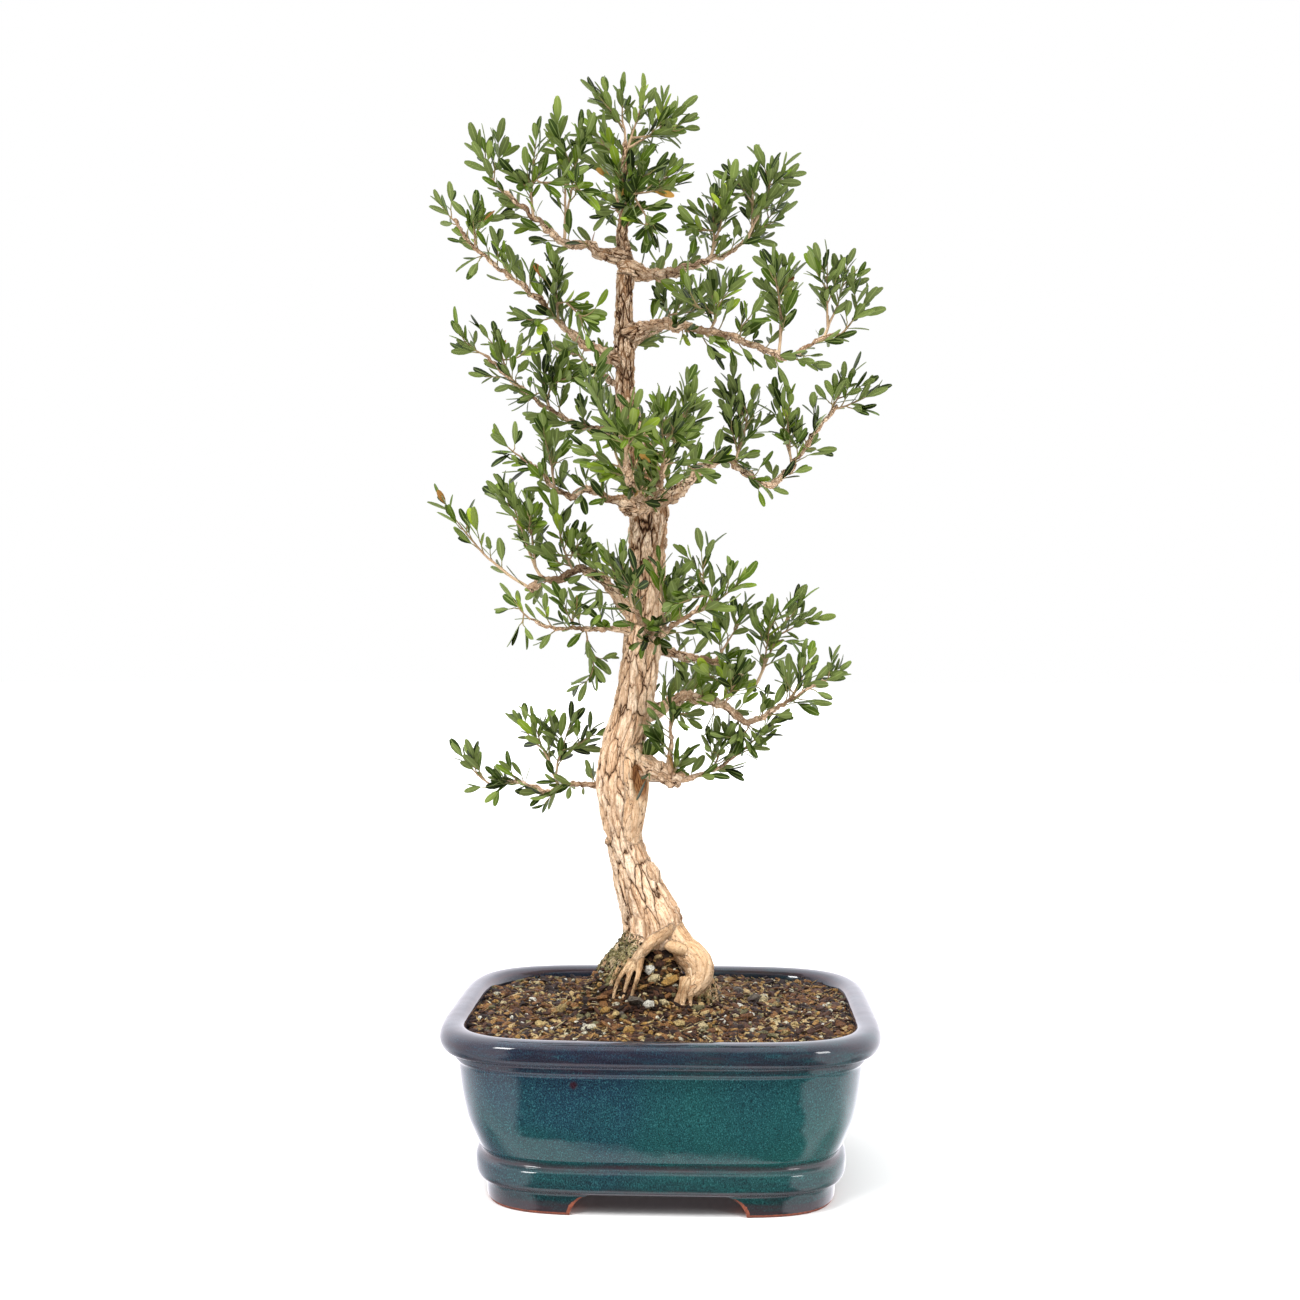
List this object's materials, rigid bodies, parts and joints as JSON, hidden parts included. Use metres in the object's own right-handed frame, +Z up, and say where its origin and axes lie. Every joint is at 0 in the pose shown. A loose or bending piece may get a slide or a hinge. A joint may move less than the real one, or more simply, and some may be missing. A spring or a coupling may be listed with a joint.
{
  "type": "potted bonsai tree",
  "caption": "Tall boxwood bonsai with a curved corky trunk and open leafy branches, rooted in gritty soil in a glazed, rounded rectangular pot on corner feet.",
  "frame": {"origin": "centre of the bounding box, on the surface that the feet stand on", "axes": "+Z up, -Y towards the pot's front, +X to the right seen from the front"},
  "size_m": [0.3432, 0.2522, 0.7865],
  "materials": {
    "glaze": "glossy speckled teal glaze that breaks brown on edges, bare clay under the feet",
    "soil": "loose dark bark mix with pale grit",
    "plastic": "black moulded plastic mesh",
    "bark": "corky tan bark split into plates",
    "leaf": "smooth leathery leaf, satin above and dull below"
  },
  "bodies": {
    "root": {"drain_mesh_left": "plastic", "drain_mesh_right": "plastic", "pot": "glaze", "soil": "soil", "spray_apex_1": "leaf", "spray_apex_2": "leaf", "spray_apex_3": "leaf", "spray_apex_4": "leaf", "spray_apex_5": "leaf", "spray_back_low_1": "leaf", "spray_back_lowest_1": "leaf", "spray_back_middle_1": "leaf", "spray_back_top_1": "leaf", "spray_back_upper_left_1": "leaf", "spray_back_upper_right_1": "leaf", "spray_collar_left_1": "leaf", "spray_collar_left_2": "leaf", "spray_front_left_1": "leaf", "spray_front_left_2": "leaf", "spray_front_right_1": "leaf", "spray_front_right_2": "leaf", "spray_long_right_1": "leaf", "spray_long_right_2": "leaf", "spray_long_right_3": "leaf", "spray_low_front_left_1": "leaf", "spray_low_front_left_2": "leaf", "spray_lower_front_1": "leaf", "spray_lower_front_right_1": "leaf", "spray_lower_front_right_2": "leaf", "spray_lower_left_1": "leaf", "spray_lower_left_2": "leaf", "spray_lower_left_3": "leaf", "spray_lower_right_1": "leaf", "spray_lower_right_2": "leaf", "spray_lowest_left_1": "leaf", "spray_lowest_left_2": "leaf", "spray_lowest_right_riser_1": "leaf", "spray_lowest_right_twig_1": "leaf", "spray_lowest_right_twig_2": "leaf", "spray_middle_left_1": "leaf", "spray_middle_left_2": "leaf", "spray_middle_left_3": "leaf", "spray_middle_right_1": "leaf", "spray_middle_right_2": "leaf", "spray_middle_right_3": "leaf", "spray_middle_right_4": "leaf", "spray_top_left_1": "leaf", "spray_top_left_2": "leaf", "spray_top_left_3": "leaf", "spray_top_right_1": "leaf", "spray_top_right_2": "leaf", "spray_top_right_3": "leaf", "spray_upper_left_1": "leaf", "spray_upper_left_2": "leaf", "spray_upper_left_3": "leaf", "spray_upper_right_1": "leaf", "spray_upper_right_2": "leaf", "spray_upper_right_3": "leaf", "spray_upper_right_4": "leaf", "tree_wood": "bark"}
  },
  "joints": []
}
